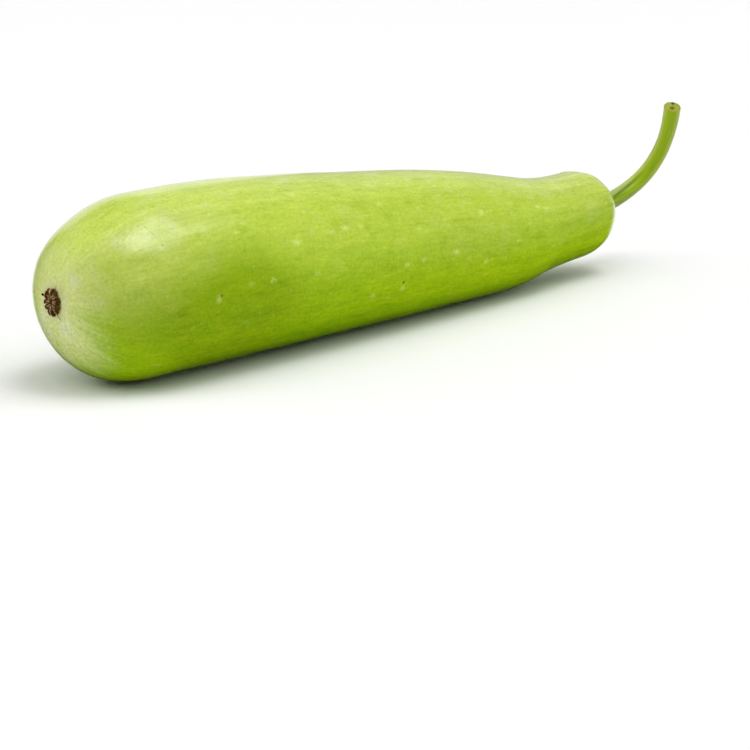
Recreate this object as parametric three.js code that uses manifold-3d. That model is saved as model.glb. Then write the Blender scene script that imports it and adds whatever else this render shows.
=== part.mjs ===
import * as THREE from 'three';
import { mergeVertices } from 'three/addons/utils/BufferGeometryUtils.js';
import Module from 'manifold-3d';

// A bottle gourd as picked, lying on its side. Millimetres, +Z up, the surface it rests on at z = 0.
// The fruit runs along +X, from the blossom end to the neck, where its cut stem curls up and to -Y.
// The dried blossom scar sits in the other end. Every place below is measured from the tip of the
// blossom end, and the whole group is moved at the end, so that its origin is the middle of its
// footprint.

// Driving dimensions
const fruitLength = 370;
const blossomCapLength = 44.6;
const blossomCapRoundness = 2.12;
const stemCapLength = 27.7;
const stemCapRoundness = 2;
const restingDepth = 0.4;
const seamGap = 0.3;

// The long form: distance from the blossom end, girth radius, rise of the underside off the surface.
const formStations = [
  [0, 40, -0.9],
  [20, 38.5, -1.3],
  [45, 38.6, 0.4],
  [85, 39, 0.2],
  [130, 37.9, 0],
  [175, 36.2, 0],
  [215, 34.4, 0.1],
  [250, 32.2, 0.3],
  [285, 29.1, 0.6],
  [310, 24.9, 5],
  [335, 23.1, 7.6],
  [355, 23.5, 8.6],
  [fruitLength, 23.1, 9.9],
];

// Slight unevenness of the grown rind, as shares of its radius
const ovalShare = 0.004;
const lobeShare = 0.003;
const neckRidgeShare = 0.008;
const neckRidges = 10;
const neckRidgesFrom = 300;
const neckRidgesFullAt = 350;

// Facets of the fruit
const facetsAround = 64;
const blossomCapRows = 13;
const barrelRows = 34;
const stemCapRows = 11;

// Stem: a five-ribbed stalk along one bend, footed in the neck and cut off aslant
const stemRadius = 4.05;
const stemBaseRadius = 4.9;
const stemFootRadius = 6;
const stemFootDepth = 3;
const stemTipRadius = 4.5;
const stemRibs = 5;
const stemRibShare = 0.05;
const stemRibsFullAt = 12;
const stemFootFlareRun = 4;
const stemCutSlant = 0.34;
const stemCutFaces = new THREE.Vector3(-0.74, -0.67, 0);
const stemCutDishDepth = 0.5;
const stemCutRimShare = 0.85;
const stemFacets = 30;
const stemRows = 30;
const stemBend = {
  afterFoot: [423.4, 4, 38.4],
  beforeTip: [408.3, -17.6, 63],
  tip: [406.2, -20.8, 85.7],
};

// Blossom scar: a corky button with rays, seated in a shallow round hollow
const scarRadius = 5.6;
const scarRimWave = 0.07;
const scarRays = 11;
const scarRayHeight = 0.3;
const scarSeatDepth = 1.4;
const scarFacets = 66;

// Shape of the long form at any distance from the blossom end

const formCurve = new THREE.CatmullRomCurve3(
  formStations.map(([x, girth, rise]) => new THREE.Vector3(x, girth, girth + rise)),
  false,
  'catmullrom',
  0.5,
);
const formSamples = formCurve.getPoints(1200);

function formAt(x) {
  let i = 1;
  while (i < formSamples.length - 1 && formSamples[i].x < x) i += 1;
  const before = formSamples[i - 1];
  const after = formSamples[i];
  const share = (x - before.x) / (after.x - before.x);
  return {
    girth: THREE.MathUtils.lerp(before.y, after.y, share),
    height: THREE.MathUtils.lerp(before.z, after.z, share),
  };
}

function capShare(distanceFromTip, capLength, roundness) {
  const inward = Math.max(0, 1 - distanceFromTip / capLength);
  return Math.pow(Math.max(0, 1 - Math.pow(inward, roundness)), 1 / roundness);
}

function rindRadius(x) {
  const blossomCap = capShare(x, blossomCapLength, blossomCapRoundness);
  const stemCap = capShare(fruitLength - x, stemCapLength, stemCapRoundness);
  return formAt(x).girth * blossomCap * stemCap;
}

// The share by which the rind stands out at an angle round the fruit, from 0 on its underside.
function unevenness(x, angle) {
  const ridging = THREE.MathUtils.smoothstep(x, neckRidgesFrom, neckRidgesFullAt);
  const oval = ovalShare * Math.sin(2 * angle + 0.8 + x / 80);
  const lobes = lobeShare * Math.sin(3 * angle - x / 55);
  const ridges = neckRidgeShare * ridging * Math.cos(neckRidges * angle);
  const awayFromUnderside = 0.5 + 0.5 * Math.sin(angle);
  return (oval + lobes + ridges) * awayFromUnderside;
}

const blossomTipHeight = formAt(0).height - restingDepth;
const stemTipHeight = formAt(fruitLength).height - restingDepth;

// The stem's centre line, from the bottom of its foot inside the neck to the middle of its cut end
const stemStart = new THREE.Vector3(fruitLength - stemFootDepth + seamGap, 0, stemTipHeight);
const stemCurve = new THREE.CubicBezierCurve3(
  stemStart,
  ...[stemBend.afterFoot, stemBend.beforeTip, stemBend.tip].map(([x, y, z]) =>
    new THREE.Vector3(x, y, z - restingDepth)),
);

// Solids

function closedFaces(geometry) {
  geometry.deleteAttribute('normal');
  geometry.deleteAttribute('uv');
  const merged = mergeVertices(geometry, 1e-4);
  const corners = merged.index.array;
  const kept = [];
  for (let i = 0; i < corners.length; i += 3) {
    const [a, b, c] = [corners[i], corners[i + 1], corners[i + 2]];
    if (a !== b && b !== c && c !== a) kept.push(a, b, c);
  }
  merged.setIndex(kept);
  return merged;
}

const wasm = await Module();
wasm.setup();

function solidOf(geometry) {
  const closed = closedFaces(geometry);
  return new wasm.Manifold(new wasm.Mesh({
    numProp: 3,
    vertProperties: new Float32Array(closed.attributes.position.array),
    triVerts: new Uint32Array(closed.index.array),
  }));
}

function geometryOf(solid) {
  const { numProp, vertProperties, triVerts } = solid.getMesh();
  const positions = new THREE.InterleavedBuffer(vertProperties, numProp);
  const geometry = new THREE.BufferGeometry();
  geometry.setAttribute('position', new THREE.InterleavedBufferAttribute(positions, 3, 0));
  geometry.setIndex(new THREE.BufferAttribute(triVerts, 1));
  return geometry.toNonIndexed();
}

// Moves each point of a turned shape: its height on the turning axis becomes x, and its radius and
// angle are handed to a placing function, which returns the point's final place.
function placeTurned(geometry, place) {
  const points = geometry.attributes.position;
  for (let i = 0; i < points.count; i += 1) {
    const across = -points.getX(i);
    const up = points.getZ(i);
    const placed = place(points.getY(i), Math.hypot(across, up), Math.atan2(up, across));
    points.setXYZ(i, placed.x, placed.y, placed.z);
  }
  return geometry;
}

function turned(profile, facets) {
  return new THREE.LatheGeometry(profile.map(([radius, height]) => new THREE.Vector2(radius, height)), facets);
}

// Fruit

function fruitRowPlaces() {
  const rows = [];
  for (let i = 0; i < blossomCapRows; i += 1) {
    rows.push(blossomCapLength * (1 - Math.cos((Math.PI / 2) * (i / blossomCapRows))));
  }
  const barrelLength = fruitLength - blossomCapLength - stemCapLength;
  for (let i = 0; i < barrelRows; i += 1) {
    rows.push(blossomCapLength + barrelLength * (i / barrelRows));
  }
  for (let i = stemCapRows; i >= 0; i -= 1) {
    rows.push(fruitLength - stemCapLength * (1 - Math.cos((Math.PI / 2) * (i / stemCapRows))));
  }
  return rows;
}

function rindGeometry() {
  const profile = fruitRowPlaces().map((x) => [rindRadius(x), x]);
  profile[0][0] = 0;
  profile[profile.length - 1][0] = 0;
  return placeTurned(turned(profile, facetsAround), (x, radius, angle) => {
    const uneven = radius * (1 + unevenness(x, angle));
    const height = formAt(x).height - restingDepth;
    return new THREE.Vector3(x, uneven * Math.cos(angle), height + uneven * Math.sin(angle));
  });
}

// A round hollow sunk into one tip of the fruit, for the piece that is seated there.
function hollow(bottom, outwards, radius, depth) {
  const bore = new THREE.CylinderGeometry(radius, radius, 2 * depth, stemFacets);
  bore.translate(0, depth, 0);
  bore.applyQuaternion(new THREE.Quaternion().setFromUnitVectors(new THREE.Vector3(0, 1, 0), outwards));
  bore.translate(bottom.x, bottom.y, bottom.z);
  return solidOf(bore);
}

function fruitGeometry() {
  const belowSurface = new THREE.BoxGeometry(2 * fruitLength, fruitLength, fruitLength);
  belowSurface.translate(fruitLength / 2, 0, -fruitLength / 2);
  const scarSeatBottom = new THREE.Vector3(scarSeatDepth, 0, blossomTipHeight);
  const stemOutwards = stemCurve.getTangent(0);
  const stemSeatBottom = stemStart.clone().addScaledVector(stemOutwards, -seamGap);
  const scarSeatRadius = scarRadius * (1 + scarRimWave) + seamGap;
  const rind = solidOf(rindGeometry())
    .subtract(solidOf(belowSurface))
    .subtract(hollow(scarSeatBottom, new THREE.Vector3(-1, 0, 0), scarSeatRadius, scarSeatDepth))
    .subtract(hollow(stemSeatBottom, stemOutwards, stemFootRadius + seamGap, stemFootDepth));
  return geometryOf(rind);
}

// Stem

function stemGeometry() {
  const length = stemCurve.getLength();
  const footTop = stemFootDepth - seamGap;
  const profile = [[0, 0], [stemFootRadius, 0], [stemFootRadius, footTop]];
  for (let i = 1; i <= stemRows; i += 1) {
    const share = i / stemRows;
    const along = footTop + (length - footTop) * share;
    const foot = (stemFootRadius - stemBaseRadius) * Math.exp((footTop - along) / stemFootFlareRun);
    const base = (stemBaseRadius - stemRadius) * Math.pow(1 - share, 1.5);
    const tip = (stemTipRadius - stemRadius) * THREE.MathUtils.smoothstep(share, 0.75, 1);
    profile.push([stemRadius + foot + base + tip, along]);
  }
  const dishRadius = stemCutRimShare * stemTipRadius;
  profile.push([dishRadius, length], [0.8 * dishRadius, length - stemCutDishDepth], [0, length - stemCutDishDepth]);
  const steps = 4 * stemRows;
  const frames = stemCurve.computeFrenetFrames(steps);
  return placeTurned(turned(profile, stemFacets), (along, radius, angle) => {
    const share = Math.min(1, along / length);
    const step = Math.round(share * steps);
    const ribbing = stemRibShare * THREE.MathUtils.smoothstep(along, footTop, stemRibsFullAt);
    const ribbed = radius * (1 + ribbing * Math.cos(stemRibs * angle));
    const offset = new THREE.Vector3()
      .addScaledVector(frames.normals[step], ribbed * Math.cos(angle))
      .addScaledVector(frames.binormals[step], ribbed * Math.sin(angle));
    const nearTip = THREE.MathUtils.smoothstep(share, 0.9, 1);
    const slant = -stemCutSlant * offset.dot(stemCutFaces) * nearTip;
    return stemCurve.getPointAt(share)
      .add(offset)
      .addScaledVector(frames.tangents[step], slant);
  });
}

// Blossom scar

function scarGeometry() {
  const floorX = scarSeatDepth - seamGap;
  const face = [[0, -0.2], [0.9, -0.3], [1.8, -1.1], [3.2, -1.2], [4.6, -0.9], [scarRadius, -0.3]];
  const back = [[scarRadius, floorX], [0, floorX]];
  return placeTurned(turned([...face, ...back], scarFacets), (x, radius, angle) => {
    const share = radius / scarRadius;
    const ray = Math.cos(scarRays * angle);
    const edged = radius * (1 + scarRimWave * share * ray);
    const raised = x < floorX ? x - scarRayHeight * share * ray : x;
    return new THREE.Vector3(raised, edged * Math.cos(angle), blossomTipHeight + edged * Math.sin(angle));
  });
}

// The gourd

function piece(name, geometry, colour, roughness) {
  const material = new THREE.MeshStandardMaterial({ color: colour, roughness, metalness: 0 });
  const mesh = new THREE.Mesh(geometry, material);
  mesh.name = name;
  return mesh;
}

const gourd = new THREE.Group();
gourd.add(
  piece('fruit', fruitGeometry(), 0xa5c83c, 0.45),
  piece('stem', stemGeometry(), 0x8caa28, 0.6),
  piece('blossom_scar', scarGeometry(), 0x6e4a32, 0.9),
);

const footprint = new THREE.Box3().setFromObject(gourd).getCenter(new THREE.Vector3());
gourd.position.set(-footprint.x, -footprint.y, 0);

export default gourd;
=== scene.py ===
"""A bottle gourd as picked, lying on a pale floor: the fruit's rind, its curled stem and its dried
blossom scar. Growth measures are in millimetres from the tip of the blossom end, along the fruit
(x), across it (y) and up from the line of its underside (z). Blender's own units are metres."""

import math
from bisect import bisect_right

import bmesh
import bpy
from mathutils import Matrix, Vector, noise


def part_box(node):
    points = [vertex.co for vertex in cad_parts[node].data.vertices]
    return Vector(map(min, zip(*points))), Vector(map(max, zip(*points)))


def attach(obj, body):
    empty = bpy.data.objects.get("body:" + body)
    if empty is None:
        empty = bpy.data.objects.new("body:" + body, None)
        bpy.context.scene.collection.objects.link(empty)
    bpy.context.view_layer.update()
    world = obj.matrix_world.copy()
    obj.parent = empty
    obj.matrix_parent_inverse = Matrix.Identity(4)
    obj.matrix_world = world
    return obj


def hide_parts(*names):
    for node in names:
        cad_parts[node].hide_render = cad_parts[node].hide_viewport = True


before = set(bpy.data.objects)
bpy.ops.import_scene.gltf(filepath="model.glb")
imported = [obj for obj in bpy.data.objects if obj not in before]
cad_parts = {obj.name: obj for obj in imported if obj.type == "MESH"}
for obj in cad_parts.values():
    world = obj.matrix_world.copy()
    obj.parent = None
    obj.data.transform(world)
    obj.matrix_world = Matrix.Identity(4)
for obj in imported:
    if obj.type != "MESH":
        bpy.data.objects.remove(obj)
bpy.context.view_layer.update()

MM = 0.001

# ---------------------------------------------------------------- driving dimensions

FRUIT_LENGTH = 370.0
BLOSSOM_CAP_LENGTH = 44.6
BLOSSOM_CAP_ROUNDNESS = 2.12
STEM_CAP_LENGTH = 27.7
STEM_CAP_ROUNDNESS = 2.0
RESTING_DEPTH = 0.4

# Distance from the blossom end, girth radius, rise of the underside
FORM_STATIONS = [
    (0, 40, -0.9),
    (20, 38.5, -1.3),
    (45, 38.6, 0.4),
    (85, 39, 0.2),
    (130, 37.9, 0),
    (175, 36.2, 0),
    (215, 34.4, 0.1),
    (250, 32.2, 0.3),
    (285, 29.1, 0.6),
    (310, 24.9, 5),
    (335, 23.1, 7.6),
    (355, 23.5, 8.6),
    (FRUIT_LENGTH, 23.1, 9.9),
]

OVAL_SHARE = 0.004
LOBE_SHARE = 0.003
NECK_RIDGE_SHARE = 0.008
NECK_RIDGES = 10
NECK_RIDGES_FROM = 300.0
NECK_RIDGES_FULL_AT = 350.0

STEM_RADIUS = 4.05
STEM_BASE_RADIUS = 4.9
STEM_FOOT_RADIUS = 6.0
STEM_FOOT_DEPTH = 2.7
STEM_TIP_RADIUS = 4.5
STEM_RIBS = 5
STEM_RIB_SHARE = 0.05
STEM_CUT_SLANT = 0.34
STEM_CUT_FACES = Vector((-0.74, -0.67, 0))
STEM_CURVE = [(367.3, 0, 33), (423.4, 4.0, 38.4), (408.3, -17.6, 63), (406.2, -20.8, 85.7)]

SCAR_RADIUS = 5.6
SCAR_BACK = 1.1

# ---------------------------------------------------------------- place in the frame

fruit_low, fruit_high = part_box("fruit")
scar_low, scar_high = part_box("blossom_scar")
TIP_X = scar_high.x - SCAR_BACK * MM
MIDDLE_Y = (fruit_low.y + fruit_high.y) / 2
FLOOR_Z = fruit_low.z


def placed(x, y, z):
    """A growth measure in millimetres as a point of the frame in metres."""
    return Vector((TIP_X + x * MM, MIDDLE_Y + y * MM, FLOOR_Z + (z - RESTING_DEPTH) * MM))


# ---------------------------------------------------------------- camera

CAMERA_PLACE = (-419.4, -555.1, 188.6)
CAMERA_LOOKS_DOWN = 14.68
CAMERA_TURN = -47.6
CAMERA_ROLL = 0.12
CAMERA_LENS = 85
CAMERA_SENSOR_WIDTH = 36


def make_camera():
    data = bpy.data.cameras.new("camera")
    data.lens = CAMERA_LENS
    data.sensor_width = CAMERA_SENSOR_WIDTH
    data.clip_start = 0.01
    data.clip_end = 50
    camera = bpy.data.objects.new("camera", data)
    camera.location = placed(*CAMERA_PLACE)
    camera.rotation_euler = (
        math.radians(90 - CAMERA_LOOKS_DOWN),
        math.radians(-CAMERA_ROLL),
        math.radians(CAMERA_TURN),
    )
    bpy.context.collection.objects.link(camera)
    bpy.context.scene.camera = camera


make_camera()

# ---------------------------------------------------------------- small tools


def smooth_step(value, low, high):
    share = min(1.0, max(0.0, (value - low) / (high - low)))
    return share * share * (3 - 2 * share)


def lerp(a, b, share):
    return a + (b - a) * share


def chain(bm, points):
    """A line of vertices through the points, ready to be spun."""
    verts = [bm.verts.new(point) for point in points]
    edges = [bm.edges.new(pair) for pair in zip(verts, verts[1:])]
    return verts + edges


def turned(points, facets):
    """A closed bmesh turned about the X axis from a profile that starts and ends on it."""
    bm = bmesh.new()
    profile = chain(bm, [(x, radius, 0) for x, radius in points])
    bmesh.ops.spin(
        bm,
        geom=profile,
        cent=(0, 0, 0),
        axis=(1, 0, 0),
        angle=2 * math.pi,
        steps=facets,
        use_merge=True,
    )
    bmesh.ops.remove_doubles(bm, verts=bm.verts, dist=1e-6)
    bmesh.ops.recalc_face_normals(bm, faces=bm.faces)
    return bm


def finished(name, bm, material, node=None):
    """A bmesh as a smooth piece that rides on the gourd's one body."""
    bmesh.ops.recalc_face_normals(bm, faces=bm.faces)
    mesh = bpy.data.meshes.new(name)
    bm.to_mesh(mesh)
    bm.free()
    mesh.shade_smooth()
    mesh.materials.append(material)
    piece = bpy.data.objects.new(name, mesh)
    bpy.context.collection.objects.link(piece)
    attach(piece, "root")
    if node:
        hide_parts(node)
    return piece


# ---------------------------------------------------------------- the long form


def catmull_rom(points, steps):
    """Points of a smooth curve through the stations, with its ends carried straight on."""
    first = [2 * a - b for a, b in zip(points[0], points[1])]
    last = [2 * a - b for a, b in zip(points[-1], points[-2])]
    line = [first, *points, last]
    curve = []
    for i in range(1, len(line) - 2):
        for step in range(steps):
            t = step / steps
            curve.append(tuple(
                0.5 * (2 * b + (c - a) * t + (2 * a - 5 * b + 4 * c - d) * t * t
                       + (3 * b - a - 3 * c + d) * t ** 3)
                for a, b, c, d in zip(*line[i - 1:i + 3])
            ))
    curve.append(tuple(points[-1]))
    return curve


FORM_CURVE = catmull_rom([(x, girth, girth + rise) for x, girth, rise in FORM_STATIONS], 60)
FORM_XS = [point[0] for point in FORM_CURVE]


def form_at(x):
    """Girth radius and height of the fruit's middle line at a distance from the blossom end."""
    i = min(max(bisect_right(FORM_XS, x), 1), len(FORM_CURVE) - 1)
    before, after = FORM_CURVE[i - 1], FORM_CURVE[i]
    share = (x - before[0]) / (after[0] - before[0])
    return lerp(before[1], after[1], share), lerp(before[2], after[2], share)


def cap_share(distance, length, roundness):
    inward = max(0.0, 1 - distance / length)
    return max(0.0, 1 - inward ** roundness) ** (1 / roundness)


def cap_shares(x):
    blossom = cap_share(x, BLOSSOM_CAP_LENGTH, BLOSSOM_CAP_ROUNDNESS)
    return blossom * cap_share(FRUIT_LENGTH - x, STEM_CAP_LENGTH, STEM_CAP_ROUNDNESS)


# ---------------------------------------------------------------- rind

RIND_FACETS = 200
BLOSSOM_CAP_ROWS = 60
BARREL_ROWS = 190
STEM_CAP_ROWS = 44
FORM_SMOOTHING = 24
DENT_DEPTH = 0.28
DENT_SPACING = 38.0
FURROW_DEPTH = 0.10
FINE_NECK_RIDGES = 33
FINE_NECK_RIDGE_SHARE = 0.0016
SCAR_DIMPLE_DEPTH = 0.7
SCAR_DIMPLE_SPREAD = 9.0
STEM_DIMPLE_DEPTH = 1.6
STEM_DIMPLE_SPREAD = 8.5
GRAIN_RADIUS = 38.0


def rind_row_places():
    rows = []
    for i in range(BLOSSOM_CAP_ROWS):
        rows.append(BLOSSOM_CAP_LENGTH * (1 - math.cos(math.pi / 2 * i / BLOSSOM_CAP_ROWS)))
    barrel_length = FRUIT_LENGTH - BLOSSOM_CAP_LENGTH - STEM_CAP_LENGTH
    for i in range(BARREL_ROWS):
        rows.append(BLOSSOM_CAP_LENGTH + barrel_length * i / BARREL_ROWS)
    for i in range(STEM_CAP_ROWS, -1, -1):
        rows.append(FRUIT_LENGTH - STEM_CAP_LENGTH * (1 - math.cos(math.pi / 2 * i / STEM_CAP_ROWS)))
    return rows


def eased(values):
    """The values with each one drawn towards the middle of its neighbours, ends kept."""
    for _ in range(FORM_SMOOTHING):
        inner = [(a + 2 * b + c) / 4 for a, b, c in zip(values, values[1:], values[2:])]
        values = [values[0], *inner, values[-1]]
    return values


def unevenness(x, angle):
    """The share by which the rind stands out round the fruit, fading to 0 on its underside."""
    ridging = smooth_step(x, NECK_RIDGES_FROM, NECK_RIDGES_FULL_AT)
    oval = OVAL_SHARE * math.sin(2 * angle + 0.8 + x / 80)
    lobes = LOBE_SHARE * math.sin(3 * angle - x / 55)
    ridges = NECK_RIDGE_SHARE * ridging * math.cos(NECK_RIDGES * angle)
    wander = 2.2 * noise.noise(Vector((x / 30, math.cos(angle), math.sin(angle))))
    fine = FINE_NECK_RIDGE_SHARE * ridging * math.cos(FINE_NECK_RIDGES * angle + wander)
    away_from_underside = 0.5 + 0.5 * math.sin(angle)
    return (oval + lobes + ridges + fine) * away_from_underside


def skin_relief(x, angle, radius):
    """Broad dents and long shallow furrows of the grown skin, in millimetres."""
    round_y, round_z = math.cos(angle), math.sin(angle)
    girth_share = min(1.0, radius / 12)
    dent = noise.noise(Vector((x / DENT_SPACING, 1.1 * round_y + 3, 1.1 * round_z)))
    furrow = noise.noise(Vector((x / 110, 5 * round_y, 5 * round_z + 9)))
    return girth_share * (DENT_DEPTH * dent + FURROW_DEPTH * furrow)


def tip_dimples(x, radius):
    """How far the skin is drawn in along the fruit round the scar and round the stem."""
    if x < FRUIT_LENGTH / 2:
        return SCAR_DIMPLE_DEPTH * math.exp(-((radius / SCAR_DIMPLE_SPREAD) ** 2))
    return -STEM_DIMPLE_DEPTH * math.exp(-((radius / STEM_DIMPLE_SPREAD) ** 2))


def make_rind(material):
    xs = rind_row_places()
    girths = eased([form_at(x)[0] for x in xs])
    heights = eased([form_at(x)[1] for x in xs])
    radii = [girth * cap_shares(x) for x, girth in zip(xs, girths)]
    radii[0] = radii[-1] = 0.0
    along = [0.0]
    for i in range(1, len(xs)):
        along.append(along[-1] + math.hypot(xs[i] - xs[i - 1], radii[i] - radii[i - 1]))
    row_numbers = list(range(len(xs)))
    bm = turned(list(zip(row_numbers, radii)), RIND_FACETS)
    grain = bm.verts.layers.float_vector.new("grain")
    for vert in bm.verts:
        row = round(vert.co.x)
        angle = math.atan2(vert.co.z, vert.co.y)
        radius = radii[row]
        x = xs[row]
        raised = radius * (1 + unevenness(x, angle)) + skin_relief(x, angle, radius)
        x += tip_dimples(x, radius)
        height = max(heights[row] + raised * math.sin(angle), RESTING_DEPTH)
        vert[grain] = (
            along[row] * MM,
            GRAIN_RADIUS * math.cos(angle) * MM,
            GRAIN_RADIUS * math.sin(angle) * MM,
        )
        vert.co = placed(x, raised * math.cos(angle), height)
    return finished("rind", bm, material, "fruit")


# ---------------------------------------------------------------- stem

STEM_FACETS = 100
STEM_ROWS = 190
STEM_FOOT_FLARE_RUN = 4.0
STEM_NOTCH_ANGLE = math.radians(-29)
STEM_NOTCH_SPREAD = 0.24
# The cut face from its rim inwards: share of the tip's radius, and depth below the cut in mm
STEM_CUT_RINGS = [
    (0.97, -0.12),
    (0.91, -0.05),
    (0.85, 0.2),
    (0.78, 0.4),
    (0.66, 0.38),
    (0.54, 0.3),
    (0.42, 0.34),
    (0.33, 0.5),
    (0.26, 0.9),
    (0.16, 1.3),
    (0.0, 1.5),
]


def bezier(points, t):
    a, b, c, d = (Vector(point) for point in points)
    s = 1 - t
    return a * s ** 3 + b * 3 * s * s * t + c * 3 * s * t * t + d * t ** 3


def carried_frames(points, steps):
    """Equally spaced places along a curve, each with its direction and two crossing directions
    that turn as little as they can."""
    fine = [bezier(points, i / (20 * steps)) for i in range(20 * steps + 1)]
    run = [0.0]
    for a, b in zip(fine, fine[1:]):
        run.append(run[-1] + (b - a).length)
    places = []
    for i in range(steps + 1):
        target = run[-1] * i / steps
        j = min(max(bisect_right(run, target), 1), len(fine) - 1)
        places.append(fine[j - 1].lerp(fine[j], (target - run[j - 1]) / (run[j] - run[j - 1])))
    side = None
    frames = []
    for i, place in enumerate(places):
        ahead = places[min(i + 1, steps)]
        behind = places[max(i - 1, 0)]
        tangent = (ahead - behind).normalized()
        if side is None:
            side = Vector((0, 1, 0))
        side = (side - tangent * side.dot(tangent)).normalized()
        frames.append((place, tangent, side, tangent.cross(side)))
    return frames, run[-1]


def stem_main_groove(share):
    """The angle of the deepest groove, on the stem's outer side; it winds a little at the foot."""
    return math.radians(200 - 85 * (1 - math.exp(-share / 0.15)))


def stem_rib(angle, share):
    """1 along the crests of the stem's ribs, 0 in the narrow grooves between them."""
    turn = angle - stem_main_groove(share)
    return math.sqrt((math.sin(STEM_RIBS * turn / 2) ** 2 + 0.03) / 1.03)


def stem_groove_shade(angle, share):
    """How much painted shade darkens the grooves: it ends half way up, and the main groove is the
    darkest.
    """
    main = 0.5 + 0.5 * math.cos(angle - stem_main_groove(share))
    return lerp(0.35, 1, main ** 6) * (1 - smooth_step(share, 0.3, 0.6))


def stem_sheen_share(angle, share):
    """Painted sheen: 0 along the broad green furrow of the stem's outer side, 1 round the rest of
    it, which is painted paler.
    """
    middle = 147 + 20 * (1 - smooth_step(share, 0, 0.4))
    away = abs((math.degrees(angle) - middle + 180) % 360 - 180)
    return smooth_step(away, 22, 50)


def stem_ribbing(angle, share):
    """The share by which ribs and fine lines stand out; the ribs fade towards the cut."""
    ribs = (stem_rib(angle, share) - 0.6) * (1 - 0.8 * smooth_step(share, 0.3, 0.65))
    lines = 0.012 * math.sin(17 * angle + 2 * share) + 0.008 * math.sin(29 * angle - 3 * share)
    return 2 * STEM_RIB_SHARE * ribs + lines


def make_stem(material):
    frames, length = carried_frames(STEM_CURVE, STEM_ROWS)
    sides = [(0, 0.0)] + [(row, STEM_RADIUS) for row in range(STEM_ROWS + 1)]
    face = [
        (STEM_ROWS + i + 1, STEM_TIP_RADIUS * share)
        for i, (share, _) in enumerate(STEM_CUT_RINGS)
    ]
    bm = turned(sides + face, STEM_FACETS)
    grain = bm.verts.layers.float_vector.new("grain")
    inward = bm.verts.layers.float.new("inward")
    rib = bm.verts.layers.float.new("rib")
    # This layer carries the painted shade of the grooves
    groove_shade_share = bm.verts.layers.float.new("groove_shade_share")
    notch = bm.verts.layers.float.new("notch")
    # This layer carries the painted sheen share round the stem's sides
    pale = bm.verts.layers.float.new("pale")
    for vert in bm.verts:
        row = round(vert.co.x)
        radius = math.hypot(vert.co.y, vert.co.z)
        angle = math.atan2(vert.co.z, vert.co.y)
        share = min(1.0, row / STEM_ROWS)
        along = share * length
        past_foot = max(0.0, along - STEM_FOOT_DEPTH)
        foot = (STEM_FOOT_RADIUS - STEM_BASE_RADIUS) * math.exp(-past_foot / STEM_FOOT_FLARE_RUN)
        base = (STEM_BASE_RADIUS - STEM_RADIUS) * (1 - share) ** 1.5
        tip = (STEM_TIP_RADIUS - STEM_RADIUS) * smooth_step(share, 0.75, 1)
        reach = (STEM_RADIUS + foot + base + tip) * (1 + stem_ribbing(angle, share))
        ring_share, sunk = 1.0, 0.0
        at_notch = math.exp(-(((angle - STEM_NOTCH_ANGLE) / STEM_NOTCH_SPREAD) ** 2))
        if row > STEM_ROWS:
            ring_share, sunk = STEM_CUT_RINGS[row - STEM_ROWS - 1]
            pulp_place = Vector((3 * math.cos(angle), 3 * math.sin(angle), 2 * ring_share))
            sunk *= 1 + 0.5 * noise.noise(pulp_place)
            sunk += 0.7 * at_notch * smooth_step(ring_share, 0.5, 0.9)
        elif radius < 1e-6:
            ring_share = 0.0
        reach *= ring_share
        place, tangent, side, up = frames[min(row, STEM_ROWS)]
        offset = side * (reach * math.cos(angle)) + up * (reach * math.sin(angle))
        slant = -STEM_CUT_SLANT * offset.dot(STEM_CUT_FACES) * smooth_step(share, 0.9, 1)
        vert[grain] = (along * MM, reach * math.cos(angle) * MM, reach * math.sin(angle) * MM)
        vert[inward] = 1 - ring_share if row > STEM_ROWS else 0.0
        vert[rib] = stem_rib(angle, share)
        vert[groove_shade_share] = stem_groove_shade(angle, share)
        vert[pale] = stem_sheen_share(angle, share)
        vert[notch] = at_notch * smooth_step(ring_share, 0.7, 0.95) if row > STEM_ROWS - 3 else 0.0
        vert.co = placed(*(place + offset + tangent * (slant - sunk)))
    return finished("stem_stalk", bm, material, "stem")


# ---------------------------------------------------------------- blossom scar

SCAR_RINGS = 40
SCAR_FACETS = 264
SCAR_PLACE = (0.45, -0.35)
SCAR_WIDTH_SHARE = 0.87
# The dried knobs round its rim: angle and half width in degrees, share of the radius where each
# begins, and how far its brown turns olive (1) or red (-1)
SCAR_KNOBS = [
    (35, 15, 0.38, -1.0),
    (66, 14, 0.5, 0.0),
    (105, 11, 0.5, 0.2),
    (127, 9, 0.64, 0.9),
    (168, 14, 0.6, 0.3),
    (200, 11, 0.65, 0.9),
    (226, 12, 0.62, 0.5),
    (265, 14, 0.54, 0.0),
    (298, 13, 0.54, 0.2),
    (329, 12, 0.52, 0.3),
    (356, 12, 0.50, 0.1),
]
# Where the bead and the loose threads run: x out along the fruit, y and z round the scar's middle
SCAR_BEAD = (-1.0, 4.3, 2.7)
SCAR_BEAD_RADIUS = 0.5
SCAR_THREADS = [
    ([(0.3, 3.1, 1.4), (-0.5, 3.7, 1.9), SCAR_BEAD], 0.2),
    ([(0.2, -2.6, 4.6), (-0.1, -2.9, 5.8), (0.2, -3.0, 7.0)], 0.09),
    ([(0.2, -3.0, -4.6), (0.1, -3.9, -5.9), (0.5, -4.7, -6.6)], 0.11),
]


def scar_knob(angle, share, wander):
    """How far a place is on a knob, from 0 to 1, and the knob's hue."""
    turn = math.degrees(angle) + wander
    best, best_hue = 0.0, 0.0
    for middle, half_width, start, hue in SCAR_KNOBS:
        away = abs((turn - middle + 180) % 360 - 180) / half_width
        wide = 1 - smooth_step(away, 0.5, 0.98)
        on = wide * smooth_step(share + 0.12 * away * away, start, start + 0.22)
        if on > best:
            best, best_hue = on, hue
    return best, best_hue


def paint(bm, layer, verts, tint):
    for vert in verts:
        vert[layer] = tint


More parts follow.
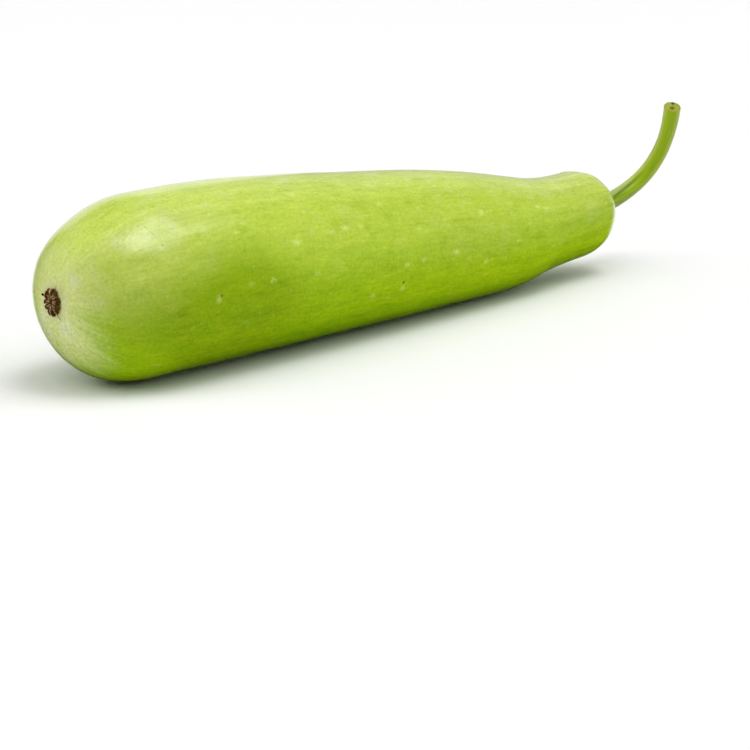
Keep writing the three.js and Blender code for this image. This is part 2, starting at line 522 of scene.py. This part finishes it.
def add_thread(bm, layer, points, radius, tint):
    """A thin round thread through three points of the scar's surroundings."""
    steps, sides = 10, 8
    rings = []
    for i in range(steps + 1):
        t = i / steps
        a, b, c = (Vector(point) for point in points)
        place = a * (1 - t) ** 2 + b * 2 * t * (1 - t) + c * t * t
        tangent = ((b - a) * (1 - t) + (c - b) * t).normalized()
        side = tangent.cross(Vector((1, 0.2, 0.1))).normalized()
        up = tangent.cross(side)
        thin = radius * (1 - 0.4 * t)
        ring = []
        for k in range(sides):
            angle = 2 * math.pi * k / sides
            sideways = place + side * thin * math.cos(angle)
            ring.append(bm.verts.new(sideways + up * thin * math.sin(angle)))
        rings.append(ring)
        paint(bm, layer, ring, tint)
    for below, above in zip(rings, rings[1:]):
        for k in range(sides):
            bm.faces.new((below[k], below[(k + 1) % sides], above[(k + 1) % sides], above[k]))
    bm.faces.new(rings[0])
    bm.faces.new(rings[-1])


def make_scar(material):
    profile = [(i, SCAR_RADIUS * i / SCAR_RINGS) for i in range(SCAR_RINGS + 1)]
    last = SCAR_RINGS
    profile += [(last + 1, SCAR_RADIUS * 0.99), (last + 2, SCAR_RADIUS * 0.9), (last + 3, 0.0)]
    bm = turned(profile, SCAR_FACETS)
    marks = bm.verts.layers.float_vector.new("marks")
    for vert in bm.verts:
        row = round(vert.co.x)
        radius = math.hypot(vert.co.y, vert.co.z)
        angle = math.atan2(vert.co.z, vert.co.y)
        round_y, round_z = math.cos(angle), math.sin(angle)
        share = min(1.0, radius / SCAR_RADIUS)
        wander = 7 * noise.noise(Vector((1.8 * round_y, 1.8 * round_z, 3 * share)))
        knob, hue = scar_knob(angle, share, wander)
        streak = noise.noise(Vector((7 * round_y, 7 * round_z, 2 * share + 5)))
        ragged = noise.noise(Vector((9 * round_y, 9 * round_z, 4)))
        crumble = noise.noise(Vector((1.6 * vert.co.y, 1.6 * vert.co.z, 7)))
        pit = math.exp(-((round_y * radius / 0.7) ** 2) - (round_z * radius / 1.1) ** 2)
        edge_share = smooth_step(share, 0.4, 1)
        reach = radius * (1 + edge_share * (0.11 * (knob - 0.6) + 0.05 * ragged))
        if row <= last:
            dome = 0.9 * (1 - share ** 3)
            raised = 0.45 * knob * (1 - 0.6 * smooth_step(share, 0.85, 1))
            groove = 0.35 * streak * smooth_step(share, 0.15, 0.4) * (1 - knob)
            x = 0.25 - dome - raised - groove - 0.3 * crumble + 1.1 * pit
        else:
            x = SCAR_BACK * (row - last) / 3
        vert[marks] = (knob, 0.5 + 0.5 * hue, 0.5 + streak - 1.1 * pit)
        vert.co = (x, SCAR_WIDTH_SHARE * reach * round_y, reach * round_z)
    bead = bmesh.ops.create_icosphere(bm, subdivisions=3, radius=SCAR_BEAD_RADIUS)["verts"]
    bmesh.ops.translate(bm, verts=bead, vec=SCAR_BEAD)
    paint(bm, marks, bead, (1.3, 0.5, -0.5))
    for points, radius in SCAR_THREADS:
        add_thread(bm, marks, points, radius, (0.45, 0.8, 0.4))
    tip_height = form_at(0)[1]
    for vert in bm.verts:
        across, up = vert.co.y + SCAR_PLACE[0], tip_height + vert.co.z + SCAR_PLACE[1]
        vert.co = placed(vert.co.x, across, up)
    return finished("blossom_scar_cork", bm, material, "blossom_scar")


# ---------------------------------------------------------------- materials


class Nodes:
    """A node tree, put together one texture or mix at a time."""

    def __init__(self, tree):
        self.tree = tree

    def add(self, kind, settings=None, **inputs):
        node = self.tree.nodes.new(kind)
        for name, value in (settings or {}).items():
            setattr(node, name, value)
        for name, value in inputs.items():
            self.put(node.inputs[name.replace("_", " ")], value)
        return node

    def put(self, socket, value):
        if isinstance(value, bpy.types.NodeSocket):
            self.tree.links.new(value, socket)
        else:
            socket.default_value = value

    def object_point(self):
        return self.add("ShaderNodeTexCoord").outputs["Object"]

    def attribute(self, name, output="Vector"):
        return self.add("ShaderNodeAttribute", {"attribute_name": name}).outputs[output]

    def stretched(self, point, scale, place=(0, 0, 0)):
        node = self.add("ShaderNodeMapping", Vector=point, Scale=scale, Location=place)
        return node.outputs["Vector"]

    def grain(self, point, scale, detail=2.0, roughness=0.5):
        node = self.add(
            "ShaderNodeTexNoise",
            Vector=point,
            Scale=scale,
            Detail=detail,
            Roughness=roughness,
        )
        return node.outputs["Fac"]

    def between(self, value, low, high, to_low=0.0, to_high=1.0):
        node = self.add(
            "ShaderNodeMapRange",
            {"interpolation_type": "SMOOTHSTEP"},
            Value=value,
            From_Min=low,
            From_Max=high,
            To_Min=to_low,
            To_Max=to_high,
        )
        return node.outputs["Result"]

    def maths(self, operation, a, b):
        node = self.add("ShaderNodeMath", {"operation": operation})
        self.put(node.inputs[0], a)
        self.put(node.inputs[1], b)
        return node.outputs["Value"]

    def mixed(self, a, b, share, blend="MIX"):
        node = self.add("ShaderNodeMix", {"data_type": "RGBA", "blend_type": blend})
        self.put(node.inputs[0], share)
        self.put(node.inputs[6], a)
        self.put(node.inputs[7], b)
        return node.outputs[2]

    def tinted(self, body, tint, share):
        return self.mixed(body, tint, share, "MULTIPLY")

    def shaken(self, point, scale, reach):
        """The point moved at random by up to about a quarter of the reach, for ragged outlines."""
        noise_node = self.add("ShaderNodeTexNoise", Vector=point, Scale=scale, Detail=1.0)
        centred = self.vector("SUBTRACT", noise_node.outputs["Color"], (0.5, 0.5, 0.5))
        return self.vector("ADD", point, self.vector("MULTIPLY", centred, (reach, reach, reach)))

    def vector(self, operation, a, b):
        node = self.add("ShaderNodeVectorMath", {"operation": operation})
        self.put(node.inputs[0], a)
        self.put(node.inputs[1], b)
        return node.outputs["Vector"]

    def distance(self, point, centre):
        node = self.add("ShaderNodeVectorMath", {"operation": "DISTANCE"})
        self.put(node.inputs[0], point)
        self.put(node.inputs[1], centre)
        return node.outputs["Value"]

    def part(self, vector, axis):
        return self.add("ShaderNodeSeparateXYZ", Vector=vector).outputs[axis]

    def near(self, point, centre, inner, outer, stretch=(1, 1, 1)):
        """1 at a centre and 0 past the outer distance from it; the point is already stretched."""
        shrunk = tuple(a * b for a, b in zip(centre, stretch))
        return self.between(self.distance(point, shrunk), inner, outer, 1, 0)

    def flecks(self, point, size, rarity):
        """Small scattered spots of uneven brightness, in some of the cells of a random pattern."""
        cells = self.add("ShaderNodeTexVoronoi", Vector=point, Scale=1.0)
        spot = self.between(cells.outputs["Distance"], 0.35 * size, size, 1, 0)
        kept = self.between(self.part(cells.outputs["Color"], "X"), rarity, 1.0)
        return self.maths("MULTIPLY", spot, kept)

    def bump(self, height, distance, strength=1.0, normal=None):
        node = self.add("ShaderNodeBump", Height=height, Distance=distance, Strength=strength)
        if normal:
            self.put(node.inputs["Normal"], normal)
        return node.outputs["Normal"]


class Recipe(Nodes):
    """The node tree of a new material, with its one shader."""

    def __init__(self, name):
        self.material = bpy.data.materials.new(name)
        self.material.use_nodes = True
        super().__init__(self.material.node_tree)
        self.shader = self.tree.nodes["Principled BSDF"]

    def set(self, **inputs):
        for name, value in inputs.items():
            self.put(self.shader.inputs[name.replace("_", " ")], value)


def colour(red, green, blue):
    """A colour of 0 to 255 as seen on a screen, as the linear one that shaders take."""
    def linear(part):
        share = part / 255
        return share / 12.92 if share <= 0.04045 else ((share + 0.055) / 1.055) ** 2.4
    return (linear(red), linear(green), linear(blue), 1.0)


RIND_BODY = colour(184, 207, 70)
# Painted shade on the lower flank
RIND_FLANK_SHADE = colour(157, 193, 10)
# Painted shade on the barrel's underside
RIND_BELOW_SHADE = colour(138, 177, 2)
# Painted sky reflection along the top
RIND_TOP_REFLECTION = colour(201, 220, 97)
# Painted shade on the lower front near the blossom end
RIND_CHEEK_SHADE = colour(140, 172, 6)
RIND_CREAM = colour(219, 228, 147)
RIND_HALO = colour(218, 217, 158)
RIND_FLECK = colour(216, 230, 122)

STEM_GREEN = colour(156, 186, 6)
# Painted shade in the stem's grooves
STEM_GROOVE_SHADE = colour(98, 128, 6)
# Painted sheen on the stem's sides
STEM_SHEEN_PALE = colour(186, 198, 98)
STEM_CUT = colour(160, 166, 46)
STEM_CUT_PALE = colour(186, 188, 76)
STEM_CUT_DARK = colour(98, 96, 16)
STEM_NOTCH = colour(66, 70, 20)

SCAR_CORK = colour(140, 106, 68)
SCAR_PALE_CORK = colour(192, 168, 124)
SCAR_DEEP_CORK = colour(82, 50, 16)
SCAR_HEART = colour(34, 14, 0)
SCAR_BROWN = colour(68, 41, 6)
SCAR_OLIVE = colour(80, 70, 8)
SCAR_RED = colour(80, 28, 0)
SCAR_BEAD_BLACK = colour(12, 8, 2)

# Tints that the colour of the rind or stem is multiplied by, in strokes, clouds and patches
DEEPER = (0.68, 0.78, 0.55, 1)
PALER = (1.25, 1.17, 1.5, 1)
MILKY = (1.12, 1.04, 2.4, 1)
# Greyer, bluer skin; on the upper shoulder it is a painted highlight
DULLER = (1.03, 0.97, 1.55, 1)
OLIVE = (0.89, 0.9, 0.86, 1)
# Eases the painted shade on the lower flank towards the stem
SHADE_EASING = (1.16, 1.1, 1.1, 1)
# Painted shade at the stem's foot
STEM_FOOT_SHADE = (0.78, 0.76, 1.6, 1)
CRUMB_SHADE = (0.5, 0.45, 0.4, 1)

# The clearest pale flecks: distance from the blossom end, angle round, size in mm, strength
FLECKS = [
    (101, 157, 1.7, 0.8),
    (114, 122, 1.5, 0.8),
    (113, 137, 1.2, 0.5),
    (124, 154, 1.2, 0.6),
    (133, 152, 1.5, 0.7),
    (143, 152, 1.2, 0.5),
    (162, 137, 1.3, 0.6),
    (165, 117, 1.4, 0.6),
    (76, 140, 1.2, 0.5),
    (70, 145, 1.2, 0.5),
    (84, 178, 1.2, 0.5),
    (182, 159, 1.2, 0.5),
    (259, 178, 1.3, 0.5),
    (282, 147, 1.5, 0.7),
    (289, 149, 1.3, 0.6),
    (232, 151, 1.6, 0.8),
    (218, 130, 1.2, 0.5),
    (207.5, 180, 1.7, 0.7),
    (232, 192, 1.3, 0.5),
    (171, 183, 1.4, 0.6),
    (183, 182, 1.3, 0.5),
    (150, 203, 1.3, 0.4),
]

# Dark marks: distance from the blossom end, angle round, size in mm, the same two for the middle
# of the pale patch beside it, and the tint
BLEMISHES = [
    (55, 181, 0.75, 53.5, 183, colour(128, 92, 44)),
    (170, 196.5, 0.8, 170.5, 201, colour(52, 62, 8)),
    (32.5, 142, 0.6, 31.5, 143, colour(150, 150, 70)),
]
# A fine scratch: the distance along the skin and the angle round of its two ends
SCRATCH = [(52.0, 125.4), (53.2, 134.0)]


def on_skin(along, degrees):
    """The growth coordinates, in metres, of a distance along the skin and an angle round it."""
    angle = math.radians(degrees)
    return (along * MM, GRAIN_RADIUS * math.cos(angle) * MM, GRAIN_RADIUS * math.sin(angle) * MM)


def on_rind(x, degrees):
    """The growth coordinates of a point at a distance from the blossom end and an angle round."""
    places = [0.5 * i for i in range(int(2 * x) + 1)] + [x]
    girths = [form_at(place)[0] * cap_shares(place) for place in places]
    steps = zip(places, places[1:], girths, girths[1:])
    return on_skin(sum(math.hypot(b - a, after - before) for a, b, before, after in steps), degrees)


def patch(recipe, grain, centre, inner, outer, length_share):
    """1 in a patch of the skin that is longer than wide, 0 outside it."""
    shape = (length_share, 1, 1)
    return recipe.near(recipe.stretched(grain, shape), centre, inner, outer, shape)


def rind_colour(recipe, grain):
    """Green, with painted shade on the lower flanks, on the underside and in a patch near the
    blossom end, a painted sky reflection along the top, a painted highlight on the upper shoulder,
    and cream round the blossom scar that reaches further down the cap's underside as painted bounce
    light.
    """
    upright = recipe.part(grain, "Z")
    arc = recipe.part(grain, "X")
    # Painted shade: the barrel's lower flank and underside are darker and greener, rising to the
    # body colour above
    past_cap = recipe.between(arc, 0.06, 0.11)
    below = recipe.maths("MULTIPLY", recipe.between(upright, -0.014, -0.030), past_cap)
    body = recipe.mixed(RIND_FLANK_SHADE, RIND_BELOW_SHADE, below)
    lifted = recipe.maths("ADD", upright, recipe.between(arc, 0.065, 0.03, 0, 0.008))
    body = recipe.mixed(body, RIND_BODY, recipe.between(lifted, -0.014, 0.022))
    # Painted sky reflection: the top is paler and bluer
    body = recipe.mixed(body, RIND_TOP_REFLECTION, recipe.between(upright, 0.024, 0.037))
    # The painted shade below is made lighter towards the stem
    towards_stem = recipe.between(arc, 0.13, 0.27)
    shade_easing = recipe.maths("MULTIPLY", recipe.between(upright, 0.006, -0.014), towards_stem)
    body = recipe.tinted(body, SHADE_EASING, shade_easing)
    # Painted shade: a darker patch on the lower front near the blossom end
    cheek_shade = patch(recipe, grain, (0.085, -0.036, -0.012), 0.012, 0.040, 0.7)
    body = recipe.mixed(body, RIND_CHEEK_SHADE, cheek_shade)
    rays = recipe.grain(recipe.stretched(grain, (30, 300, 300)), 1, 3, 0.6)
    reach = recipe.maths("ADD", arc, recipe.between(rays, 0.3, 0.7, 0.0025, -0.0025))
    # Painted bounce light: the cream reaches further down the cap's underside
    reach = recipe.maths("ADD", reach, recipe.between(upright, -0.010, -0.036, 0, -0.012))
    upper = recipe.between(upright, -0.010, 0.010)
    # Painted highlight: the upper shoulder by the blossom end is tinted whiter where the softbox is
    # reflected
    shoulder_highlight = recipe.maths("MULTIPLY", recipe.between(arc, 0.11, 0.05), upper)
    dull = recipe.maths("MULTIPLY", shoulder_highlight, recipe.between(upright, 0.037, 0.029))
    smudge = patch(recipe, grain, (0.245, -0.038, -0.004), 0.004, 0.024, 0.5)
    dull = recipe.maths("MAXIMUM", dull, recipe.maths("MULTIPLY", smudge, 0.7))
    dull = recipe.maths("MAXIMUM", dull, recipe.between(arc, 0.315, 0.365, 0, 0.6))
    body = recipe.tinted(body, DULLER, dull)
    olive = patch(recipe, grain, (0.046, -0.036, -0.006), 0.004, 0.024, 0.8)
    body = recipe.tinted(body, OLIVE, olive)
    body = recipe.mixed(body, RIND_CREAM, recipe.between(reach, 0.004, 0.031, 0.95, 0))
    halo = recipe.between(arc, 0.0062, 0.0105, 0.7, 0)
    return recipe.mixed(body, RIND_HALO, halo)


def rind_strokes(recipe, body, grain, point):
    """Short fine strokes that run the length of the fruit, wider bands, clouds and a fine grain."""
    arc = recipe.part(grain, "X")
    away_from_tip = recipe.between(arc, 0.008, 0.06, 0.35, 1.0)
    on_flank = recipe.between(recipe.part(grain, "Z"), 0.012, -0.016, 0.68, 1.0)
    share = recipe.maths("MULTIPLY", away_from_tip, on_flank)
    strokes = recipe.grain(recipe.stretched(grain, (150, 780, 780)), 1, 3, 0.65)
    body = toned(recipe, body, strokes, share, 0.85, 0.85)
    bands = recipe.grain(recipe.stretched(grain, (42, 210, 210), (0, 0, 0.3)), 1, 3, 0.6)
    body = toned(recipe, body, bands, share, 0.8, 0.7)
    clouds = recipe.grain(point, 75, 3, 0.72)
    body = recipe.tinted(body, MILKY, recipe.between(clouds, 0.48, 0.8, 0, 0.66))
    body = recipe.tinted(body, DEEPER, recipe.between(clouds, 0.5, 0.2, 0, 0.5))
    speckle = recipe.grain(point, 780, 2, 0.65)
    return toned(recipe, body, speckle, on_flank, 0.9, 0.9)


def toned(recipe, body, pattern, share, darkest, lightest):
    """The colour made deeper where the pattern is high and paler where it is low."""
    dark = recipe.maths("MULTIPLY", recipe.between(pattern, 0.48, 0.82, 0, darkest), share)
    light = recipe.maths("MULTIPLY", recipe.between(pattern, 0.52, 0.18, 0, lightest), share)
    return recipe.tinted(recipe.tinted(body, DEEPER, dark), PALER, light)


def neck_strokes(recipe, body, grain):
    """Long light and dark lines that draw together towards the stem."""
    on_neck = recipe.between(recipe.part(grain, "X"), 0.275, 0.345)
    lines = recipe.grain(recipe.stretched(grain, (16, 330, 330), (0.7, 0, 0)), 1, 2)
    body = toned(recipe, body, lines, on_neck, 0.3, 0.4)
    broad = recipe.grain(recipe.stretched(grain, (12, 120, 120), (0.2, 0, 0.4)), 1, 2)
    return toned(recipe, body, broad, on_neck, 0.6, 0.6)


def rind_flecks(recipe, body, grain):
    """Pale breathing pores: small ones all over, and fewer large ones with soft ragged edges."""
    small = recipe.flecks(recipe.stretched(grain, (240, 420, 420)), 0.34, 0.66)
    body = recipe.mixed(body, RIND_FLECK, recipe.maths("MULTIPLY", small, 0.16))
    large = recipe.flecks(recipe.stretched(grain, (75, 165, 165)), 0.26, 0.7)
    seen = recipe.between(recipe.part(grain, "X"), 0.02, 0.06, 0.05, 0.25)
    body = recipe.mixed(body, RIND_FLECK, recipe.maths("MULTIPLY", large, seen))
    stretch = (0.62, 1, 1)
    shrunk = recipe.stretched(grain, stretch)
    for x, degrees, size, strength in FLECKS:
        fleck = recipe.near(shrunk, on_rind(x, degrees), 0, 1.5 * size * MM, stretch)
        body = recipe.mixed(body, RIND_FLECK, recipe.maths("MULTIPLY", fleck, strength))
    return body


def rind_blemishes(recipe, body, grain):
    """The few dark marks: a brown pit, a dark dot, a fine scratch, each with its pale edge."""
    for x, degrees, size, pale_x, pale_degrees, tint in BLEMISHES:
        pale = recipe.near(grain, on_rind(pale_x, pale_degrees), 0, 3.2 * size * MM)
        body = recipe.mixed(body, RIND_FLECK, recipe.maths("MULTIPLY", pale, 0.45))
        spot = recipe.near(grain, on_rind(x, degrees), 0.4 * size * MM, 1.25 * size * MM)
        body = recipe.mixed(body, tint, recipe.maths("MULTIPLY", spot, 0.95))
    start, end = (Vector(on_skin(*place)) for place in SCRATCH)
    half = (end - start).length / 2
    offset = recipe.vector("SUBTRACT", grain, (start + end) / 2)
    ahead = recipe.add("ShaderNodeVectorMath", {"operation": "DOT_PRODUCT"})
    recipe.put(ahead.inputs[0], offset)
    recipe.put(ahead.inputs[1], (end - start).normalized())
    along = recipe.maths("MINIMUM", recipe.maths("MAXIMUM", ahead.outputs["Value"], -half), half)
    closest = recipe.add("ShaderNodeVectorMath", {"operation": "SCALE"}, Scale=along)
    recipe.put(closest.inputs[0], (end - start).normalized())
    line = recipe.between(recipe.distance(offset, closest.outputs["Vector"]), 0.0001, 0.0004, 1, 0)
    return recipe.tinted(body, DEEPER, line)


def rind_material():
    recipe = Recipe("rind")
    point = recipe.object_point()
    grain = recipe.attribute("grain")
    ragged = recipe.shaken(grain, 800, 0.003)
    body = rind_colour(recipe, grain)
    body = rind_strokes(recipe, body, grain, point)
    body = neck_strokes(recipe, body, grain)
    body = rind_flecks(recipe, body, ragged)
    body = rind_blemishes(recipe, body, recipe.shaken(grain, 900, 0.0008))
    pores = recipe.grain(point, 1300, 2)
    skin = recipe.bump(recipe.grain(recipe.stretched(grain, (120, 600, 600)), 1, 3), 0.00015, 0.5)
    recipe.set(
        Base_Color=body,
        Roughness=0.45,
        Specular_IOR_Level=0.0,
        Coat_Weight=1.0,
        Coat_IOR=1.58,
        Coat_Roughness=0.14,
        Sheen_Weight=0.1,
        Sheen_Roughness=0.2,
        Sheen_Tint=(1, 1, 0.7, 1),
        Subsurface_Weight=0.12,
        Subsurface_Scale=0.003,
        Normal=recipe.bump(pores, 0.00008, 0.5, skin),
    )
    wax = recipe.grain(point, 800, 2, 0.6)
    recipe.put(recipe.shader.inputs["Coat Normal"], recipe.bump(wax, 0.0002, 0.5))
    recipe.shader.inputs["Subsurface Radius"].default_value = (0.6, 1.0, 0.15)
    return recipe.material


def stem_material():
    """Green with paler crests and sides as a painted sheen, grooves and foot darkened as painted
    shade, fine lines, and an olive cut with a dark heart.
    """
    recipe = Recipe("stem")
    grain = recipe.attribute("grain")
    rib = recipe.attribute("rib", "Fac")
    inward = recipe.attribute("inward", "Fac")
    notch = recipe.attribute("notch", "Fac")
    groove_shade_share = recipe.attribute("groove_shade_share", "Fac")
    pale = recipe.attribute("pale", "Fac")
    # Painted shade darkens the grooves, most of all the main one
    groove = recipe.maths("MULTIPLY", recipe.between(rib, 0.75, 0.2), groove_shade_share)
    # Painted sheen: the sides away from the green furrow are paler
    sides = recipe.maths("MULTIPLY", pale, recipe.between(rib, 0.3, 0.9, 0.55, 0.9))
    skin = recipe.mixed(STEM_GREEN, STEM_SHEEN_PALE, sides)
    # Painted shade at the stem's foot, where it meets the fruit
    skin = recipe.tinted(skin, STEM_FOOT_SHADE, recipe.between(recipe.part(grain, "X"), 0.038, 0.012))
    skin = recipe.mixed(skin, STEM_GROOVE_SHADE, groove)
    lines = recipe.grain(recipe.stretched(grain, (45, 1500, 1500)), 1, 3, 0.6)
    skin = toned(recipe, skin, lines, 1.0, 0.75, 0.9)
    patches = recipe.grain(recipe.stretched(grain, (60, 300, 300)), 1, 2)
    skin = recipe.tinted(skin, DEEPER, recipe.between(patches, 0.5, 0.75, 0, 0.5))
    pulp = recipe.grain(recipe.object_point(), 1100, 3, 0.65)
    cut = recipe.mixed(STEM_CUT, STEM_CUT_DARK, recipe.between(pulp, 0.5, 0.75, 0, 0.7))
    cut = recipe.mixed(cut, STEM_CUT_PALE, recipe.between(pulp, 0.45, 0.25, 0, 0.7))
    cut = recipe.mixed(cut, STEM_CUT_DARK, recipe.between(inward, 0.62, 0.86, 0, 0.9))
    cut = recipe.mixed(STEM_CUT_DARK, cut, recipe.between(inward, 0.02, 0.14, 0.35, 1))
    body = recipe.mixed(skin, cut, recipe.between(inward, 0.0, 0.03))
    body = recipe.mixed(body, STEM_NOTCH, recipe.between(notch, 0.3, 0.8))
    recipe.set(
        Base_Color=body,
        Roughness=0.45,
        Specular_IOR_Level=0.2,
        Coat_Weight=0.2,
        Coat_Roughness=0.3,
        Sheen_Weight=0.6,
        Sheen_Roughness=0.25,
        Normal=recipe.bump(lines, 0.0001, 0.6),
    )
    return recipe.material


def scar_material():
    """Dry cork: dark brown, olive and reddish knobs, paler ribs between them and a dark heart."""
    recipe = Recipe("scar")
    marks = recipe.attribute("marks")
    knob, hue, streak = (recipe.part(marks, axis) for axis in "XYZ")
    fine = recipe.grain(recipe.object_point(), 1900, 3, 0.6)
    cork = recipe.mixed(SCAR_DEEP_CORK, SCAR_CORK, recipe.between(streak, 0.3, 0.62))
    cork = recipe.mixed(cork, SCAR_PALE_CORK, recipe.between(streak, 0.58, 0.88, 0, 0.85))
    cork = recipe.mixed(SCAR_HEART, cork, recipe.between(streak, -0.25, 0.2))
    husk = recipe.mixed(SCAR_RED, SCAR_BROWN, recipe.between(hue, 0, 0.5))
    husk = recipe.mixed(husk, SCAR_OLIVE, recipe.between(hue, 0.5, 1))
    body = recipe.mixed(cork, husk, recipe.between(knob, 0.2, 0.75))
    body = recipe.mixed(body, SCAR_BEAD_BLACK, recipe.between(knob, 1.0, 1.2))
    body = recipe.tinted(body, CRUMB_SHADE, recipe.between(fine, 0.45, 0.25))
    recipe.set(
        Base_Color=body,
        Roughness=0.75,
        Specular_IOR_Level=0.12,
        Normal=recipe.bump(fine, 0.0002, 0.7),
    )
    return recipe.material


# ---------------------------------------------------------------- pieces

make_rind(rind_material())
make_stem(stem_material())
make_scar(scar_material())

# ---------------------------------------------------------------- floor, lights and surroundings


# Sizes and gaps in metres, and the card's middle along the fruit in millimetres
FLOOR_HALF_SIZE = 6
FLOOR_GAP = 0.0002
FLOOR_PAINT = (0.92, 0.92, 0.92, 1)
CARD_MIDDLE_X = 180
CARD_HALF_LENGTH = 0.186
CARD_HALF_WIDTH = 0.045
CARD_GAP = 0.0001


def stage_sheet(name, half_length, half_width, place, **finish):
    """A flat sheet of the stage, which isn't part of the gourd."""
    mesh = bpy.data.meshes.new(name)
    bm = bmesh.new()
    bmesh.ops.create_grid(bm, x_segments=1, y_segments=1, size=1)
    bmesh.ops.scale(bm, verts=bm.verts, vec=(half_length, half_width, 1))
    bm.to_mesh(mesh)
    bm.free()
    recipe = Recipe(name)
    recipe.set(**finish)
    mesh.materials.append(recipe.material)
    sheet = bpy.data.objects.new(name, mesh)
    sheet.location = place
    bpy.context.collection.objects.link(sheet)
    return sheet


def make_floor():
    """The pale floor. It isn't seen in reflections."""
    floor = stage_sheet(
        "floor",
        FLOOR_HALF_SIZE,
        FLOOR_HALF_SIZE,
        (0, 0, FLOOR_Z - FLOOR_GAP),
        Base_Color=FLOOR_PAINT,
        Roughness=0.7,
    )
    floor.visible_glossy = False


def make_dark_card():
    """A black card on the floor under the gourd, seen in reflections only: a sheet of painted shade
    that stands in for the floor's shadow there and keeps the bright far side out of the gourd's
    lower edge."""
    middle = placed(CARD_MIDDLE_X, 0, 0)
    card = stage_sheet(
        "dark_card",
        CARD_HALF_LENGTH,
        CARD_HALF_WIDTH,
        (middle.x, middle.y, FLOOR_Z - CARD_GAP),
        Base_Color=(0, 0, 0, 1),
        Roughness=1.0,
        Specular_IOR_Level=0.0,
    )
    card.visible_camera = False
    card.visible_diffuse = False
    card.visible_shadow = False
    card.visible_transmission = False


def sky_direction(turn, height):
    """The direction of a place in the sky: its compass turn and its height above the floor."""
    turn, height = math.radians(turn), math.radians(height)
    level = math.cos(height)
    return Vector((level * math.cos(turn), level * math.sin(turn), math.sin(height)))


# Round soft lights: name, turn of the compass, height above the floor, strength
GLOW_WIDTH = 50
GLOWS = [
    ("overhead", 0, 90, 0.175),
    ("left", 180, 52, 0.26),
    ("left_front", -120, 35, 0.06),
    ("back_left", 135, 30, 0.29),
    ("front", -45, 58, 0.09),
    ("front_right", -45, 22, 0.28),
    ("right", 0, 22, 0.12),
]
# Far panels: name, turn, height, distance in metres, width and height in metres, radiance
PANELS = [
    ("softbox", -49.7, 66.9, 20, (16, 12), 2.2),
    ("softbox_core", -85, 74, 19, (6, 7), 2.7),
    ("backdrop", 60, 12, 20, (11, 10), 0.48),
]
FAR_SIDE_STRENGTH = 0.4
FAR_SIDE_TURN = 34
DIM_STRENGTH = 0.01


def make_glow(name, turn, height, strength):
    """Soft light from a round part of the sky. It isn't seen in reflections."""
    data = bpy.data.lights.new(name, "SUN")
    data.energy = math.pi * strength
    data.angle = math.radians(GLOW_WIDTH)
    lamp = bpy.data.objects.new(name, data)
    lamp.rotation_euler = sky_direction(turn, height).to_track_quat("Z", "Y").to_euler()
    lamp.visible_glossy = False
    bpy.context.collection.objects.link(lamp)


def make_softbox(name, turn, height, distance, size, radiance):
    """A far, wide panel of even light that faces the gourd."""
    data = bpy.data.lights.new(name, "AREA")
    data.shape = "RECTANGLE"
    data.size, data.size_y = size
    data.energy = math.pi * size[0] * size[1] * radiance
    lamp = bpy.data.objects.new(name, data)
    direction = sky_direction(turn, height)
    lamp.location = direction * distance
    lamp.rotation_euler = direction.to_track_quat("Z", "Y").to_euler()
    bpy.context.collection.objects.link(lamp)


def make_surroundings(strength, turn, rest):
    """Surroundings that are bright round one turn of the compass, most of all just below the
    horizon, and dim elsewhere."""
    world = bpy.data.worlds.new("surroundings")
    world.use_nodes = True
    nodes = Nodes(world.node_tree)
    direction = nodes.add("ShaderNodeTexCoord").outputs["Generated"]
    ahead = nodes.add("ShaderNodeVectorMath", {"operation": "DOT_PRODUCT"})
    nodes.put(ahead.inputs[0], direction)
    nodes.put(ahead.inputs[1], sky_direction(turn, 0))
    far = nodes.between(ahead.outputs["Value"], 0.66, 0.9, 0, strength)
    height = nodes.part(direction, "Z")
    low = nodes.between(height, -0.16, 0.02, 3.2, 1)
    high = nodes.between(height, 0.2, 0.7, 1, 0.5)
    rising = nodes.maths("MULTIPLY", low, high)
    above = nodes.maths("MULTIPLY", rising, nodes.between(height, -0.38, -0.26))
    light = nodes.maths("ADD", nodes.maths("MULTIPLY", far, above), rest)
    background = world.node_tree.nodes["Background"]
    background.inputs["Color"].default_value = (1, 1, 1, 1)
    nodes.put(background.inputs["Strength"], light)
    bpy.context.scene.world = world


make_floor()
make_dark_card()
for panel in PANELS:
    make_softbox(*panel)
for glow in GLOWS:
    make_glow(*glow)
make_surroundings(FAR_SIDE_STRENGTH, FAR_SIDE_TURN, DIM_STRENGTH)
bpy.context.scene.view_settings.view_transform = "Standard"
